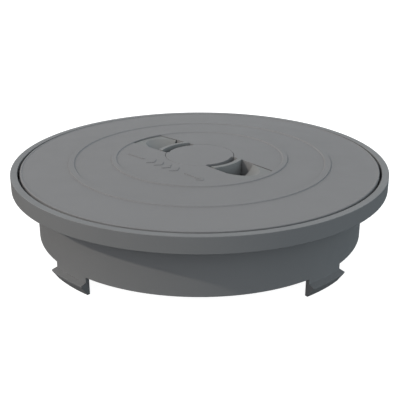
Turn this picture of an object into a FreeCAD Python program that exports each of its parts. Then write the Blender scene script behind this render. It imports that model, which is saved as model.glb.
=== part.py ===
"""Twist-off access cover: a round moulded frame with snap feet and the crowned lid that locks into it.

Origin: centre of the object on the plane that the four feet stand on. +Z is up, through the lid.
At rest the lid is seated on its seal and turned to the open stop, with its lugs in the gaps of the frame.
"""
import FreeCAD, Part
import math
import os

V = FreeCAD.Vector
UP = V(0, 0, 1)
ORIGIN = V(0, 0, 0)

# ---------------------------------------------------------------- driving dimensions, mm
# Frame
rim_radius = 200.0
rim_top = 90.0
rim_height = 16.5
rim_width = 7.2
skirt_radius = 175.0
skirt_wall = 4.5
skirt_bottom = 18.9
seat_thickness = 4.0
seat_inner_radius = 168.0
edge_round = 0.5

# Snap feet
foot_count = 4
foot_first_angle = 45.0
foot_width_deg = 15.75
barb_radius = 181.0
barb_neck_z = 13.9
barb_top_z = 12.2
barb_low_z = 11.0
foot_toe_radius = 173.7

# Bayonet
lug_count = 4
lug_half_deg = 12.0
lug_tip_radius = 166.5
lug_low_z = 52.0
lug_high_z = 57.5
ledge_inner_radius = 162.0
ledge_low_z = 58.0
ledge_high_z = 62.0
ledge_from_deg = -60.0
ledge_to_deg = -30.0
stop_low_z = 50.0
lock_stop_deg = (-60.0, -57.4)
open_stop_deg = (12.5, 15.0)

# Lid
lid_radius = 190.2
crown_radius = 1950.0
dome_radius = 91.0
lid_thickness = 5.0
lip_width = 2.8
lip_height = 0.45
lip_inner_bevel = 0.9
lip_outer_bevel = 0.55
lid_wall = 5.7
lid_edge_low_z = 78.2
spigot_radius = 160.0
spigot_wall = 4.5
spigot_low_z = 48.0
band_height = 1.0
band_inner_bevel = 0.95
band_outer_bevel = 0.45
bands = ((88.8, 94.8), (133.4, 140.6))
core_radius = 97.0
core_low_z = 86.0

# Seals
seal_inner_radius = 176.0
seal_outer_radius = 183.0
seal_height = 5.5
flange_gasket_radii = (178.0, 190.0)
flange_gasket_thickness = 2.0

# Lid ribs
rib_thickness = 3.0
long_rib_count = 16
short_rib_count = 24
rib_low_z = 76.0
hoop_rib_radii = (124.0, 127.0)

# Finger pockets, in a local frame with X along the pocket, outwards from the lid's axis
pocket_angles = {"right": -45.0, "left": 135.0}
pocket_half_width = 20.8
pocket_outer_radius = 89.6
pocket_corner_radius = 2.5
pocket_seam = 0.9
hub_radius = 34.3
deep_end = 59.6
pocket_floor_z = 66.0
cup_wall = 2.5
plate_recess = 0.6
flange_thickness = 2.5
flange_half_width = 31.2
flange_inner_x = 16.0
flange_inner_radius = 22.0
flange_outer_radius = 94.0
cup_gasket_thickness = 1.5
grip_inner_radius = 42.7
grip_outer_radius = 47.5
grip_low_z = 80.0
grip_rise = 0.8
scoop_radius = 24.7
scoop_slope_deg = 24.0
scoop_end = 82.5

# Centre cap
cap_radius = 36.65
cap_recess_radius = 37.2
cap_bevel = 0.2
cap_low_z = 93.0
stem_radius = 8.0
stem_bore_radius = 8.3
stem_low_z = 86.3

# Fasteners
cup_screw_places = ((46.0, -27.2), (46.0, 27.2), (74.0, -27.2), (74.0, 27.2))
screw_radius = 1.9
screw_hole_radius = 2.0
screw_length = 9.5
screw_head_radius = 3.4
screw_head_height = 2.4
flange_hole_radius = 2.3

# Direction mark on the lid, in a local frame with X outwards and Y towards the opening direction
mark_angle = -135.0
mark_radius = 51.5
mark_stroke = 1.4
mark_height = 0.6
mark_line_inner = 32.0
mark_line_outer = 57.5
mark_head_length = 5.0
mark_head_half = 3.5
chevron_half_height = 6.0
chevron_depth = 4.5
chevron_places = (-18.0, -6.0, 6.0, 18.0)

# ---------------------------------------------------------------- derived sizes
rim_bottom = rim_top - rim_height
rim_inner_radius = rim_radius - rim_width
skirt_inner_radius = skirt_radius - skirt_wall
seat_z = rim_bottom + seat_thickness
cone_angle = math.asin(dome_radius / crown_radius)
dome_edge_z = rim_top + (lid_radius - dome_radius) * math.tan(cone_angle)
crown_centre = V(0, 0, dome_edge_z - crown_radius * math.cos(cone_angle))
seal_top = seat_z + seal_height
flange_top_z = core_low_z - cup_gasket_thickness
flange_low_z = flange_top_z - flange_thickness
tall = 200.0


# ---------------------------------------------------------------- helpers
def crown_z(radius, offset=0.0):
    """Height of the crown, or of a surface parallel to it, at a radius: a dome that runs out into a cone."""
    if radius <= dome_end(offset):
        return crown_centre.z + math.sqrt((crown_radius + offset) ** 2 - radius ** 2)
    cone_fall = (radius - dome_radius) * math.tan(cone_angle)
    return dome_edge_z - cone_fall + offset / math.cos(cone_angle)


def dome_end(offset=0.0):
    """Radius at which the dome meets the cone, on a surface parallel to the crown."""
    return (crown_radius + offset) * math.sin(cone_angle)


def crown_point(radius, offset=0.0):
    """A point of the crown in the XZ plane."""
    return V(radius, 0, crown_z(radius, offset))


def line(start, end):
    """A straight edge."""
    return Part.LineSegment(start, end).toShape()


def crown_curve(start_radius, end_radius, offset=0.0):
    """The crown between two radii in the XZ plane, either way round, as a list of edges."""
    meeting = dome_end(offset)
    if start_radius > end_radius:
        low, high = end_radius, start_radius
    else:
        low, high = start_radius, end_radius
    if low >= meeting:
        return [line(crown_point(start_radius, offset), crown_point(end_radius, offset))]
    arc_end = min(high, meeting)
    middle = (low + arc_end) / 2
    ends = [low, arc_end] if start_radius < end_radius else [arc_end, low]
    points = [crown_point(radius, offset) for radius in (ends[0], middle, ends[1])]
    arc = Part.Arc(*points).toShape()
    if high <= meeting:
        return [arc]
    if start_radius < end_radius:
        return [arc, line(crown_point(meeting, offset), crown_point(high, offset))]
    return [line(crown_point(high, offset), crown_point(meeting, offset)), arc]


def below_crown(shape, offset=0.0):
    """The part of a shape that lies under the crown's dome, for shapes that stay inside the dome's edge."""
    return shape.common(Part.makeSphere(crown_radius + offset, crown_centre))


def polyline(points):
    """Edges that join (radius, height) points in the XZ plane."""
    corners = [V(r, 0, z) for r, z in points]
    return [line(a, b) for a, b in zip(corners, corners[1:])]


def turned(edges, start_deg=0.0, sweep_deg=360.0):
    """A profile in the XZ plane turned about the Z axis."""
    face = Part.Face(Part.Wire(edges))
    solid = face.revolve(ORIGIN, UP, sweep_deg)
    solid.rotate(ORIGIN, UP, start_deg)
    return solid


def turned_outline(points, start_deg=0.0, sweep_deg=360.0):
    """A closed outline of (radius, height) points turned about the Z axis."""
    return turned(polyline(list(points) + [points[0]]), start_deg, sweep_deg)


def ring(inner, outer, low, high, start_deg=0.0, sweep_deg=360.0):
    """A ring, or a sector of one, with a rectangular section."""
    return turned_outline([(inner, low), (outer, low), (outer, high), (inner, high)], start_deg, sweep_deg)


def disc(radius, low, high, x=0.0, y=0.0):
    """An upright cylinder between two heights."""
    return Part.makeCylinder(radius, high - low, V(x, y, low))


def block(x_low, x_high, y_low, y_high, z_low, z_high):
    """A box between two corners."""
    return Part.makeBox(x_high - x_low, y_high - y_low, z_high - z_low, V(x_low, y_low, z_low))


def placed(shape, angle):
    """A copy turned about the Z axis."""
    copy = shape.copy()
    copy.rotate(ORIGIN, UP, angle)
    return copy


def around(shape, count, first_angle=0.0):
    """Equal copies spaced evenly about the Z axis."""
    return [placed(shape, first_angle + 360.0 * i / count) for i in range(count)]


def round_circles(shape, radius, places):
    """Round the circular edges found at the given (radius, height) places."""
    edges = []
    for edge in shape.Edges:
        if not isinstance(edge.Curve, Part.Circle):
            continue
        for r, z in places:
            if abs(edge.Curve.Radius - r) < 0.01 and abs(edge.Curve.Center.z - z) < 0.01:
                edges.append(edge)
    return shape.makeFillet(radius, edges)


def one_solid(shape):
    """The shape as one clean solid."""
    clean = shape.removeSplitter()
    return clean.Solids[0] if len(clean.Solids) == 1 else clean


# ---------------------------------------------------------------- frame
def make_foot():
    """One snap foot: a stretch of the skirt wall that goes on down to an outward barb."""
    outline = [
        (skirt_inner_radius, skirt_bottom + 2),
        (skirt_radius, skirt_bottom + 2),
        (skirt_radius, barb_neck_z),
        (barb_radius, barb_top_z),
        (barb_radius, barb_low_z),
        (foot_toe_radius, 0),
        (skirt_inner_radius, 0),
    ]
    return turned_outline(outline, -foot_width_deg / 2, foot_width_deg)


def make_bayonet_ledge():
    """One ledge that the lid's lug turns under, with its lock stop, open stop and gussets."""
    root = skirt_radius - 1
    ledge_sweep = ledge_to_deg - ledge_from_deg
    ledge = ring(ledge_inner_radius, root, ledge_low_z, ledge_high_z, ledge_from_deg, ledge_sweep)
    lock_from, lock_to = lock_stop_deg
    lock_stop = ring(ledge_inner_radius, root, stop_low_z, ledge_high_z, lock_from, lock_to - lock_from)
    open_from, open_to = open_stop_deg
    open_stop = ring(ledge_inner_radius, root, stop_low_z, ledge_high_z, open_from, open_to - open_from)
    gusset_outline = [
        (skirt_inner_radius - 0.5, rim_bottom),
        (ledge_inner_radius + 2, ledge_high_z - 0.5),
        (root, ledge_high_z - 0.5),
        (root, rim_bottom),
    ]
    gussets = [turned_outline(gusset_outline, angle, 1.0) for angle in (-56, -45.5, -35)]
    return ledge.fuse([lock_stop, open_stop] + gussets)


def make_frame():
    """Rim, lid seat and skirt in one L-shaped section, with the bayonet ledges and snap feet."""
    outline = [
        (skirt_inner_radius, skirt_bottom),
        (skirt_radius, skirt_bottom),
        (skirt_radius, rim_bottom),
        (rim_radius, rim_bottom),
        (rim_radius, rim_top),
        (rim_inner_radius, rim_top),
        (rim_inner_radius, seat_z),
        (seat_inner_radius, seat_z),
        (seat_inner_radius, rim_bottom),
        (skirt_inner_radius, rim_bottom - 2),
    ]
    body = turned_outline(outline)
    rounded = [
        (rim_radius, rim_top),
        (rim_radius, rim_bottom),
        (rim_inner_radius, rim_top),
        (skirt_radius, skirt_bottom),
        (skirt_radius, rim_bottom),
    ]
    body = round_circles(body, edge_round, rounded)
    feet = around(make_foot(), foot_count, foot_first_angle)
    ledges = around(make_bayonet_ledge(), lug_count)
    return one_solid(body.fuse(feet + ledges))


def make_flange_gasket():
    """Flat ring under the flange, where the frame sits on the shaft."""
    inner, outer = flange_gasket_radii
    return ring(inner, outer, rim_bottom - flange_gasket_thickness, rim_bottom)


# ---------------------------------------------------------------- lid
def make_lid_turning():
    """The turned body of the lid: crowned plate, raised bands and lip, edge wall, seal groove and spigot."""
    groove_outer = lid_radius - lid_wall
    groove_inner = seal_inner_radius - 0.5
    groove_wall_inner = groove_inner - 3.0
    spigot_inner = spigot_radius - spigot_wall
    lip_inner = lid_radius - lip_width
    edges = polyline([(stem_bore_radius, cap_low_z), (cap_recess_radius, cap_low_z)])
    edges.append(line(V(cap_recess_radius, 0, cap_low_z), crown_point(cap_recess_radius)))
    radius = cap_recess_radius
    for inner, outer in bands:
        top_from = inner + band_inner_bevel
        top_to = outer - band_outer_bevel
        edges += crown_curve(radius, inner)
        edges.append(line(crown_point(inner), crown_point(top_from, band_height)))
        edges += crown_curve(top_from, top_to, band_height)
        edges.append(line(crown_point(top_to, band_height), crown_point(outer)))
        radius = outer
    lip_from = lip_inner + lip_inner_bevel
    lip_to = lid_radius - lip_outer_bevel
    edge_top = crown_point(lip_to, lip_height)
    edges += crown_curve(radius, lip_inner)
    edges.append(line(crown_point(lip_inner), crown_point(lip_from, lip_height)))
    edges += crown_curve(lip_from, lip_to, lip_height)
    edges += polyline([
        (edge_top.x, edge_top.z),
        (lid_radius, edge_top.z - lip_outer_bevel),
        (lid_radius, lid_edge_low_z),
        (groove_outer, lid_edge_low_z),
        (groove_outer, seal_top),
        (groove_inner, seal_top),
        (groove_inner, lid_edge_low_z),
        (groove_wall_inner, lid_edge_low_z),
        (groove_wall_inner, crown_z(groove_wall_inner, -lid_thickness)),
    ])
    edges += crown_curve(groove_wall_inner, spigot_radius, -lid_thickness)
    edges += polyline([
        (spigot_radius, crown_z(spigot_radius, -lid_thickness)),
        (spigot_radius, spigot_low_z),
        (spigot_inner, spigot_low_z),
        (spigot_inner, crown_z(spigot_inner, -lid_thickness)),
    ])
    edges += crown_curve(spigot_inner, core_radius, -lid_thickness)
    edges += polyline([
        (core_radius, crown_z(core_radius, -lid_thickness)),
        (core_radius, core_low_z),
        (stem_bore_radius, core_low_z),
        (stem_bore_radius, cap_low_z),
    ])
    return turned(edges)


def make_ribs():
    """Stiffening ribs under the lid: long and short radial ribs and one hoop."""
    half = rib_thickness / 2
    rib_top = core_low_z + 5
    long_rib = block(core_radius - 2, spigot_radius - 2, -half, half, rib_low_z, rib_top)
    short_rib = block(spigot_radius - 2, seal_inner_radius - 2, -half, half, lid_edge_low_z + 1, rib_top - 1)
    hoop = ring(*hoop_rib_radii, rib_low_z + 2, rib_top)
    first = 180.0 / long_rib_count
    return around(long_rib, long_rib_count, first) + around(short_rib, short_rib_count) + [hoop]


def make_lugs():
    """Bayonet lugs that stand out from the foot of the spigot."""
    lug = ring(spigot_radius - 1, lug_tip_radius, lug_low_z, lug_high_z, -lug_half_deg, 2 * lug_half_deg)
    return around(lug, lug_count)


def stroke(start, end):
    """A raised bar between two points of the mark, with round ends."""
    (x0, y0), (x1, y1) = start, end
    length = math.hypot(x1 - x0, y1 - y0)
    half = mark_stroke / 2
    low = rim_top
    bar = block(0, length, -half, half, low, tall)
    bar.rotate(ORIGIN, UP, math.degrees(math.atan2(y1 - y0, x1 - x0)))
    bar.translate(V(x0, y0, 0))
    return bar.fuse([disc(half, low, tall, x0, y0), disc(half, low, tall, x1, y1)])


def chevron(y):
    """Two strokes that meet in a point towards the opening direction."""
    point = (mark_radius, y + chevron_depth / 2)
    tails = [(mark_radius + side * chevron_half_height, y - chevron_depth / 2) for side in (-1, 1)]
    return [stroke(tail, point) for tail in tails]


def make_mark():
    """The raised direction mark: two lines, a row of chevrons and an arrowhead."""
    strokes = [
        stroke((mark_radius, -mark_line_outer), (mark_radius, -mark_line_inner)),
        stroke((mark_radius, mark_line_inner), (mark_radius, mark_line_outer)),
    ]
    for side in (-1, 1):
        tail = (mark_radius + side * mark_head_half, mark_line_outer - mark_head_length)
        strokes.append(stroke(tail, (mark_radius, mark_line_outer)))
    for y in chevron_places:
        strokes += chevron(y)
    mark = below_crown(strokes[0].fuse(strokes[1:]), mark_height)
    return placed(mark, mark_angle)


def pocket_outline(inner, outer, half_width, low, high):
    """A block between two arcs about the lid's axis, with straight parallel sides, along local +X."""
    slab = block(0, outer + 10, -half_width, half_width, low, high)
    return slab.common(ring(inner, outer, low, high))


def pocket_opening(outer, low, high):
    """The outline of the pocket's opening, with its two corners by the hub rounded."""
    outline = pocket_outline(hub_radius, outer, pocket_half_width, low, high)
    corners = []
    for edge in outline.Edges:
        middle = edge.CenterOfMass
        upright = edge.BoundBox.ZLength > high - low - 1
        if upright and math.hypot(middle.x, middle.y) < hub_radius + 0.1:
            corners.append(edge)
    return outline.makeFillet(pocket_corner_radius, corners)


def make_lid():
    """The lid moulding with its two pocket openings, ribs, lugs, screw holes and direction mark."""
    lid = make_lid_turning()
    lid = lid.fuse(make_ribs() + make_lugs() + [make_mark()])
    cuts = []
    opening = pocket_opening(pocket_outer_radius, core_low_z - 20, tall)
    for angle in pocket_angles.values():
        cuts.append(placed(opening, angle))
        for x, y in cup_screw_places:
            hole = disc(screw_hole_radius, core_low_z - 1, core_low_z + screw_length - 3, x, y)
            cuts.append(placed(hole, angle))
    return one_solid(lid.cut(cuts))


def make_lid_seal():
    """Rubber ring in the lid's groove, pressed on the frame's seat."""
    bevel = 1.0
    outline = [
        (seal_inner_radius + bevel, seat_z),
        (seal_outer_radius - bevel, seat_z),
        (seal_outer_radius, seat_z + bevel),
        (seal_outer_radius, seal_top),
        (seal_inner_radius, seal_top),
        (seal_inner_radius, seat_z + bevel),
    ]
    return turned_outline(outline)


# ---------------------------------------------------------------- finger cups
def scoop_cylinder(radius):
    """The tilted cylinder whose underside is the scoop that leads the fingers down into the pocket."""
    slope = math.radians(scoop_slope_deg)
    along = V(math.cos(slope), 0, math.sin(slope))
    normal = V(-math.sin(slope), 0, math.cos(slope))
    reach = 60.0
    end_point = crown_point(scoop_end, -plate_recess)
    start = end_point + normal * scoop_radius - along * reach
    return Part.makeCylinder(radius, 2 * reach, start, along)


def make_cup_hollow():
    """The space for the fingers: a deep well behind the grip wall and the scoop beyond it."""
    well = pocket_opening(rim_radius, pocket_floor_z, tall)
    well = well.common(block(0, deep_end, -tall, tall, 0, tall))
    scoop = scoop_cylinder(scoop_radius).common(block(grip_outer_radius, tall, -tall, tall, 0, tall))
    return well.fuse(scoop)


def make_grip():
    """The curved wall that the hand holds, free of the floor so that the fingertips hook under it."""
    wall = ring(grip_inner_radius, grip_outer_radius, grip_low_z, tall)
    seam_half = pocket_half_width - pocket_seam
    inside = block(0, tall, -seam_half, seam_half, 0, tall)
    below = block(0, tall, -pocket_half_width - 1, pocket_half_width + 1, 0, core_low_z)
    return below_crown(wall.common(inside.fuse(below)), grip_rise)


def flange_outline(low, high):
    """The flat outline shared by the cup's screw flange and its gasket, with the screw holes."""
    outline = pocket_outline(flange_inner_radius, flange_outer_radius, flange_half_width, low, high)
    outline = outline.common(block(flange_inner_x, tall, -tall, tall, low, high))
    return outline.cut([disc(flange_hole_radius, low, high, x, y) for x, y in cup_screw_places])


def make_cup():
    """One finger cup: top plate, screw flange, well, scoop and grip wall, along local +X."""
    seam_radius = pocket_outer_radius - pocket_seam
    seam_half = pocket_half_width - pocket_seam
    plate = pocket_outline(hub_radius, seam_radius, seam_half, flange_low_z, tall)
    plate = below_crown(plate.common(block(deep_end, tall, -tall, tall, 0, tall)), -plate_recess)
    flange = flange_outline(flange_low_z, flange_top_z)
    well_half = pocket_half_width + cup_wall
    well_inner = hub_radius - cup_wall
    well = pocket_outline(well_inner, rim_radius, well_half, pocket_floor_z - cup_wall, flange_top_z)
    well = well.common(block(0, deep_end + cup_wall, -tall, tall, 0, tall))
    land = pocket_outline(well_inner, rim_radius, well_half, flange_low_z, core_low_z)
    land = land.common(block(0, deep_end, -tall, tall, 0, tall))
    shell = scoop_cylinder(scoop_radius + cup_wall)
    shell_room = block(deep_end, flange_outer_radius, -well_half, well_half, pocket_floor_z, flange_top_z)
    shell = shell.common(shell_room)
    cup = plate.fuse([flange, well, land, shell]).cut(make_cup_hollow())
    return one_solid(cup.fuse(make_grip()))


def make_cup_gasket():
    """Gasket on the cup's flange, with an upstand that fills the seam round the top plate."""
    seam_radius = pocket_outer_radius - pocket_seam
    seam_half = pocket_half_width - pocket_seam
    beside_plate = block(deep_end, tall, -tall, tall, 0, tall)
    beside_well = block(0, deep_end, -tall, tall, 0, tall)
    inside_seam = pocket_outline(hub_radius, seam_radius, seam_half, 0, tall).common(beside_plate)
    well_half = pocket_half_width + cup_wall
    inside_land = pocket_outline(hub_radius - cup_wall, rim_radius, well_half, 0, tall).common(beside_well)
    flat = flange_outline(flange_top_z, core_low_z)
    upstand = pocket_outline(hub_radius, pocket_outer_radius, pocket_half_width, flange_top_z, tall)
    upstand = below_crown(upstand.common(beside_plate), -plate_recess)
    return one_solid(flat.fuse(upstand).cut([inside_seam, inside_land]))


# ---------------------------------------------------------------- centre cap and fasteners
def make_centre_cap():
    """Plain round cap over the lid's hub, notched at the two pockets, with a hollow stem."""
    head = below_crown(disc(cap_radius, cap_low_z, tall))
    head = head.makeChamfer(cap_bevel, [e for e in head.Edges if e.BoundBox.ZMin > cap_low_z + 1])
    stem = disc(stem_radius, stem_low_z, cap_low_z + 0.5)
    bore = disc(screw_hole_radius, 0, cap_low_z, 0, 0)
    notch = pocket_opening(pocket_outer_radius, 0, tall)
    notches = [placed(notch, angle) for angle in pocket_angles.values()]
    return one_solid(head.fuse(stem).cut([bore] + notches))


def make_screw(x, y, head_top):
    """A pan-head screw driven upwards, with a cross recess in its head."""
    head = disc(screw_head_radius, head_top - screw_head_height, head_top, x, y)
    rim = [e for e in head.Edges if e.BoundBox.ZMax < head_top - screw_head_height + 0.01]
    head = head.makeFillet(0.9, rim)
    shank = disc(screw_radius, head_top - 0.5, head_top + screw_length - 3.5, x, y)
    low = head_top - screw_head_height - 1
    arms = [block(x - a, x + a, y - b, y + b, low, low + 2.4) for a, b in ((2.0, 0.45), (0.45, 2.0))]
    return head.fuse(shank).cut(arms)


def make_cup_screws():
    """All the cup screws of both cups, as separate solids."""
    screws = []
    for angle in pocket_angles.values():
        for x, y in cup_screw_places:
            screws.append(placed(make_screw(x, y, flange_low_z), angle))
    return Part.makeCompound(screws)


def make_cap_screw():
    """The screw and washer that hold the centre cap from below."""
    return make_screw(0, 0, core_low_z - 1.5)


def make_cap_washer():
    """Wide washer between the cap screw and the lid's hub."""
    return ring(screw_hole_radius + 0.1, 14.0, core_low_z - 1.5, core_low_z)


# ---------------------------------------------------------------- write every node
def main():
    nodes = {
        "frame_ring": make_frame(),
        "flange_gasket": make_flange_gasket(),
        "lid_panel": make_lid(),
        "lid_seal": make_lid_seal(),
        "centre_cap": make_centre_cap(),
        "cap_screw": make_cap_screw(),
        "cap_washer": make_cap_washer(),
        "cup_screws": make_cup_screws(),
    }
    cup = make_cup()
    cup_gasket = make_cup_gasket()
    for side, angle in pocket_angles.items():
        nodes["finger_cup_" + side] = placed(cup, angle)
        nodes["cup_gasket_" + side] = placed(cup_gasket, angle)
    os.makedirs("parts", exist_ok=True)
    for name, shape in nodes.items():
        box = shape.BoundBox
        volume = shape.Volume / 1000
        print(f"{name}: {len(shape.Solids)} solids, valid {shape.isValid()}, volume {volume:.1f} cm3,"
              f" z {box.ZMin:.2f} to {box.ZMax:.2f}, x {box.XMin:.2f} to {box.XMax:.2f}")
        shape.exportStep(f"parts/{name}.step")


main()
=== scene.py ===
import math
import bpy
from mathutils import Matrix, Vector


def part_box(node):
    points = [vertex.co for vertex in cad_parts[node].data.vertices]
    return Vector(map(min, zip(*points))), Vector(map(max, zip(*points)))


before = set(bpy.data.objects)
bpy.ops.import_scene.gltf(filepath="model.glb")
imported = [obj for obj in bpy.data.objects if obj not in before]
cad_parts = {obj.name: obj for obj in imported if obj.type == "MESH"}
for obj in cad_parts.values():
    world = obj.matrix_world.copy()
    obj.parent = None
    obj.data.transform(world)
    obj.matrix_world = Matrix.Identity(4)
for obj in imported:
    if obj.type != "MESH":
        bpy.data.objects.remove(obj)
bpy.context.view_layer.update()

scene = bpy.context.scene
MM = 0.001

# ---------------------------------------------------------------- sizes taken from the frame
frame_low, frame_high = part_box("frame_ring")
rim_radius = (frame_high.x - frame_low.x) / 2
rim_top = frame_high.z

# ---------------------------------------------------------------- light and floor levels
key_energy = 1.12
key_color = (1.0, 0.92, 0.80)
dome_levels = ((0.47, 0.105), (0.55, 1.30), (0.66, 1.04), (0.80, 0.70), (1.0, 0.55))
floor_reach = 30.0
floor_glow = 0.96


# ---------------------------------------------------------------- camera
def make_camera():
    """The camera stands in front of the cover, a little above it, and looks slightly past the rim's centre."""
    distance = 4.0186 * rim_radius
    elevation = math.radians(18.617)
    azimuth = math.radians(-89.05)
    pitch_down = math.radians(21.694)
    heading = math.radians(90.92)
    data = bpy.data.cameras.new("camera")
    data.sensor_width = 36.0
    data.lens = 66.68
    camera = bpy.data.objects.new("camera", data)
    scene.collection.objects.link(camera)
    level = distance * math.cos(elevation)
    camera.location = (
        level * math.cos(azimuth),
        level * math.sin(azimuth),
        rim_top + distance * math.sin(elevation),
    )
    camera.rotation_euler = (math.pi / 2 - pitch_down, 0.0, heading - math.pi / 2)
    scene.camera = camera


# ---------------------------------------------------------------- light and floor
def make_key_light():
    """A warm, fairly low key from the left."""
    data = bpy.data.lights.new("key", "SUN")
    data.energy = key_energy
    data.color = key_color
    data.angle = math.radians(2.0)
    key = bpy.data.objects.new("key", data)
    scene.collection.objects.link(key)
    azimuth = math.radians(-157.0)
    elevation = math.radians(36.5)
    towards = Vector((
        math.cos(elevation) * math.cos(azimuth),
        math.cos(elevation) * math.sin(azimuth),
        math.sin(elevation),
    ))
    key.rotation_euler = towards.to_track_quat("Z", "Y").to_euler()


def half_and_half(tree, source):
    """Moves a direction's -1 to 1 into 0 to 1, for a colour ramp."""
    node = tree.nodes.new("ShaderNodeMath")
    node.operation = "MULTIPLY_ADD"
    node.inputs[1].default_value = 0.5
    node.inputs[2].default_value = 0.5
    tree.links.new(source, node.inputs[0])
    return node.outputs[0]


def make_dome():
    """A soft studio dome: brightest just above the horizon, softer overhead, dim below, cooler to the right."""
    world = bpy.data.worlds.new("dome")
    scene.world = world
    world.use_nodes = True
    tree = world.node_tree
    nodes, links = tree.nodes, tree.links
    background = nodes["Background"]
    coords = nodes.new("ShaderNodeTexCoord")
    split = nodes.new("ShaderNodeSeparateXYZ")
    links.new(coords.outputs["Generated"], split.inputs[0])

    height = nodes.new("ShaderNodeValToRGB")
    ramp = height.color_ramp.elements
    while len(ramp) < len(dome_levels):
        ramp.new(0.5)
    for element, (position, level) in zip(ramp, dome_levels):
        element.position = position
        element.color = (0.985 * level, level, 1.03 * level, 1)
    links.new(half_and_half(tree, split.outputs["Z"]), height.inputs[0])

    side = nodes.new("ShaderNodeValToRGB")
    side.color_ramp.elements[0].position = 0.30
    side.color_ramp.elements[0].color = (1.0, 0.985, 0.97, 1)
    side.color_ramp.elements[1].position = 0.80
    side.color_ramp.elements[1].color = (0.87, 0.97, 1.0, 1)
    links.new(half_and_half(tree, split.outputs["X"]), side.inputs[0])

    tint = nodes.new("ShaderNodeMix")
    tint.data_type = "RGBA"
    tint.blend_type = "MULTIPLY"
    tint.inputs["Factor"].default_value = 1.0
    links.new(height.outputs["Color"], tint.inputs["A"])
    links.new(side.outputs["Color"], tint.inputs["B"])
    links.new(tint.outputs["Result"], background.inputs["Color"])
    background.inputs["Strength"].default_value = 1.0


def make_floor():
    """A plain white floor, like a lit studio table, so the shadow under the feet stays faint.

    It doesn't light the object, so the key and the dome alone set the shading.
    """
    mesh = bpy.data.meshes.new("floor")
    reach = floor_reach
    corners = [(-reach, -reach, 0), (reach, -reach, 0), (reach, reach, 0), (-reach, reach, 0)]
    mesh.from_pydata(corners, [], [(0, 1, 2, 3)])
    floor = bpy.data.objects.new("floor", mesh)
    scene.collection.objects.link(floor)
    material = bpy.data.materials.new("floor")
    material.use_nodes = True
    shader = material.node_tree.nodes["Principled BSDF"]
    shader.inputs["Base Color"].default_value = (0.45, 0.45, 0.45, 1)
    shader.inputs["Roughness"].default_value = 0.9
    shader.inputs["Emission Color"].default_value = (1.0, 1.0, 1.0, 1)
    shader.inputs["Emission Strength"].default_value = floor_glow
    mesh.materials.append(material)
    floor.visible_diffuse = False
    floor.visible_glossy = False


# ---------------------------------------------------------------- materials
def new_material(name):
    """A node material, returned with its tree and its shader."""
    material = bpy.data.materials.new(name)
    material.use_nodes = True
    tree = material.node_tree
    return material, tree, tree.nodes["Principled BSDF"]


def noise(tree, coords, scale, detail=3.0, roughness=0.5):
    """Noise in object space, with its scale in features per metre."""
    node = tree.nodes.new("ShaderNodeTexNoise")
    node.inputs["Scale"].default_value = scale
    node.inputs["Detail"].default_value = detail
    node.inputs["Roughness"].default_value = roughness
    tree.links.new(coords.outputs["Object"], node.inputs["Vector"])
    return node


def spread(tree, source, low, high):
    """Maps a noise value to a range."""
    node = tree.nodes.new("ShaderNodeMapRange")
    node.inputs["From Min"].default_value = 0.3
    node.inputs["From Max"].default_value = 0.7
    node.inputs["To Min"].default_value = low
    node.inputs["To Max"].default_value = high
    tree.links.new(source, node.inputs["Value"])
    return node


def moulded_plastic(name, color, roughness, specular, grain_mm, grain_depth_mm, mottle):
    """Injection-moulded polypropylene: eroded-mould grain, faint flow mottling and uneven gloss."""
    material, tree, shader = new_material(name)
    coords = tree.nodes.new("ShaderNodeTexCoord")
    cloud = noise(tree, coords, 9.0, 4.0)
    shade = tree.nodes.new("ShaderNodeValToRGB")
    shade.color_ramp.elements[0].position = 0.3
    shade.color_ramp.elements[0].color = tuple(c * (1 - mottle) for c in color) + (1,)
    shade.color_ramp.elements[1].position = 0.7
    shade.color_ramp.elements[1].color = tuple(c * (1 + mottle) for c in color) + (1,)
    tree.links.new(cloud.outputs["Fac"], shade.inputs["Fac"])
    tree.links.new(shade.outputs["Color"], shader.inputs["Base Color"])

    gloss_cloud = noise(tree, coords, 40.0, 3.0)
    gloss = spread(tree, gloss_cloud.outputs["Fac"], roughness - 0.06, roughness + 0.06)
    tree.links.new(gloss.outputs["Result"], shader.inputs["Roughness"])

    grain = noise(tree, coords, 1.0 / (grain_mm * MM), 2.0, 0.6)
    bump = tree.nodes.new("ShaderNodeBump")
    bump.inputs["Strength"].default_value = 0.6
    bump.inputs["Distance"].default_value = grain_depth_mm * MM
    tree.links.new(grain.outputs["Fac"], bump.inputs["Height"])
    tree.links.new(bump.outputs["Normal"], shader.inputs["Normal"])
    shader.inputs["IOR"].default_value = 1.49
    shader.inputs["Specular IOR Level"].default_value = specular
    return material


def rubber(name, color, roughness, pore_mm):
    """Black seal rubber with fine pores."""
    material, tree, shader = new_material(name)
    coords = tree.nodes.new("ShaderNodeTexCoord")
    pores = noise(tree, coords, 1.0 / (pore_mm * MM), 2.0, 0.7)
    shade = tree.nodes.new("ShaderNodeValToRGB")
    shade.color_ramp.elements[0].color = tuple(0.7 * c for c in color) + (1,)
    shade.color_ramp.elements[1].color = tuple(1.4 * c for c in color) + (1,)
    tree.links.new(pores.outputs["Fac"], shade.inputs["Fac"])
    tree.links.new(shade.outputs["Color"], shader.inputs["Base Color"])
    bump = tree.nodes.new("ShaderNodeBump")
    bump.inputs["Strength"].default_value = 0.5
    bump.inputs["Distance"].default_value = 0.05 * MM
    tree.links.new(pores.outputs["Fac"], bump.inputs["Height"])
    tree.links.new(bump.outputs["Normal"], shader.inputs["Normal"])
    shader.inputs["Roughness"].default_value = roughness
    return material


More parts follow.
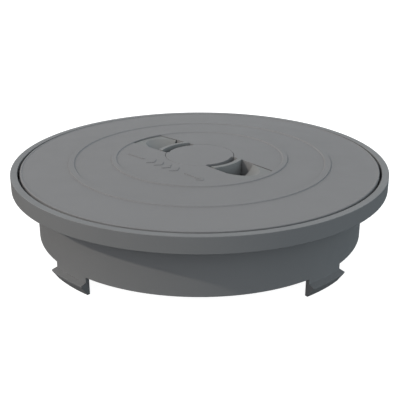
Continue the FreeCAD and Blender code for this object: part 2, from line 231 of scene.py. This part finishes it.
def stainless(name):
    """Plain stainless steel with drawn scratches."""
    material, tree, shader = new_material(name)
    coords = tree.nodes.new("ShaderNodeTexCoord")
    streaks = noise(tree, coords, 2500.0, 2.0)
    gloss = spread(tree, streaks.outputs["Fac"], 0.22, 0.42)
    tree.links.new(gloss.outputs["Result"], shader.inputs["Roughness"])
    shade = tree.nodes.new("ShaderNodeValToRGB")
    shade.color_ramp.elements[0].color = (0.50, 0.50, 0.51, 1)
    shade.color_ramp.elements[1].color = (0.66, 0.66, 0.66, 1)
    tree.links.new(streaks.outputs["Fac"], shade.inputs["Fac"])
    tree.links.new(shade.outputs["Color"], shader.inputs["Base Color"])
    shader.inputs["Metallic"].default_value = 1.0
    return material


def dress(node, material):
    """Gives a CAD node its material."""
    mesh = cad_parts[node].data
    mesh.materials.clear()
    mesh.materials.append(material)


def make_materials():
    frame_grey = (0.199, 0.202, 0.207)
    frame_plastic = moulded_plastic(
        "frame_plastic", frame_grey, roughness=0.58, specular=0.35,
        grain_mm=0.45, grain_depth_mm=0.035, mottle=0.03,
    )
    lid_grey = (0.234, 0.233, 0.239)
    lid_plastic = moulded_plastic(
        "lid_plastic", lid_grey, roughness=0.68, specular=0.09,
        grain_mm=0.45, grain_depth_mm=0.025, mottle=0.015,
    )
    cup_grey = (0.224, 0.228, 0.229)
    cup_plastic = moulded_plastic(
        "cup_plastic", cup_grey, roughness=0.60, specular=0.14,
        grain_mm=0.35, grain_depth_mm=0.015, mottle=0.02,
    )
    seal_rubber = rubber("seal_rubber", (0.016, 0.016, 0.016), 0.75, 0.5)
    # Painted shade: this black rubber is real gasket rubber under the flange, but on the cup gaskets its black
    # upstand stands in for the shadow in the seam beside each finger cup
    black_rubber_and_seam_shade = rubber("gasket_rubber", (0.018, 0.018, 0.018), 0.9, 1.0)
    steel = stainless("screw_steel")
    dress("frame_ring", frame_plastic)
    dress("lid_panel", lid_plastic)
    dress("centre_cap", lid_plastic)
    for side in ("left", "right"):
        dress("finger_cup_" + side, cup_plastic)
        # Painted shade: the black cup gasket is a dark part put where the seam beside the insert is only in
        # shade
        dress("cup_gasket_" + side, black_rubber_and_seam_shade)
    dress("lid_seal", seal_rubber)
    dress("flange_gasket", black_rubber_and_seam_shade)
    for node in ("cup_screws", "cap_screw", "cap_washer"):
        dress(node, steel)


make_camera()
make_key_light()
make_dome()
make_floor()
make_materials()
scene.view_settings.view_transform = "Standard"
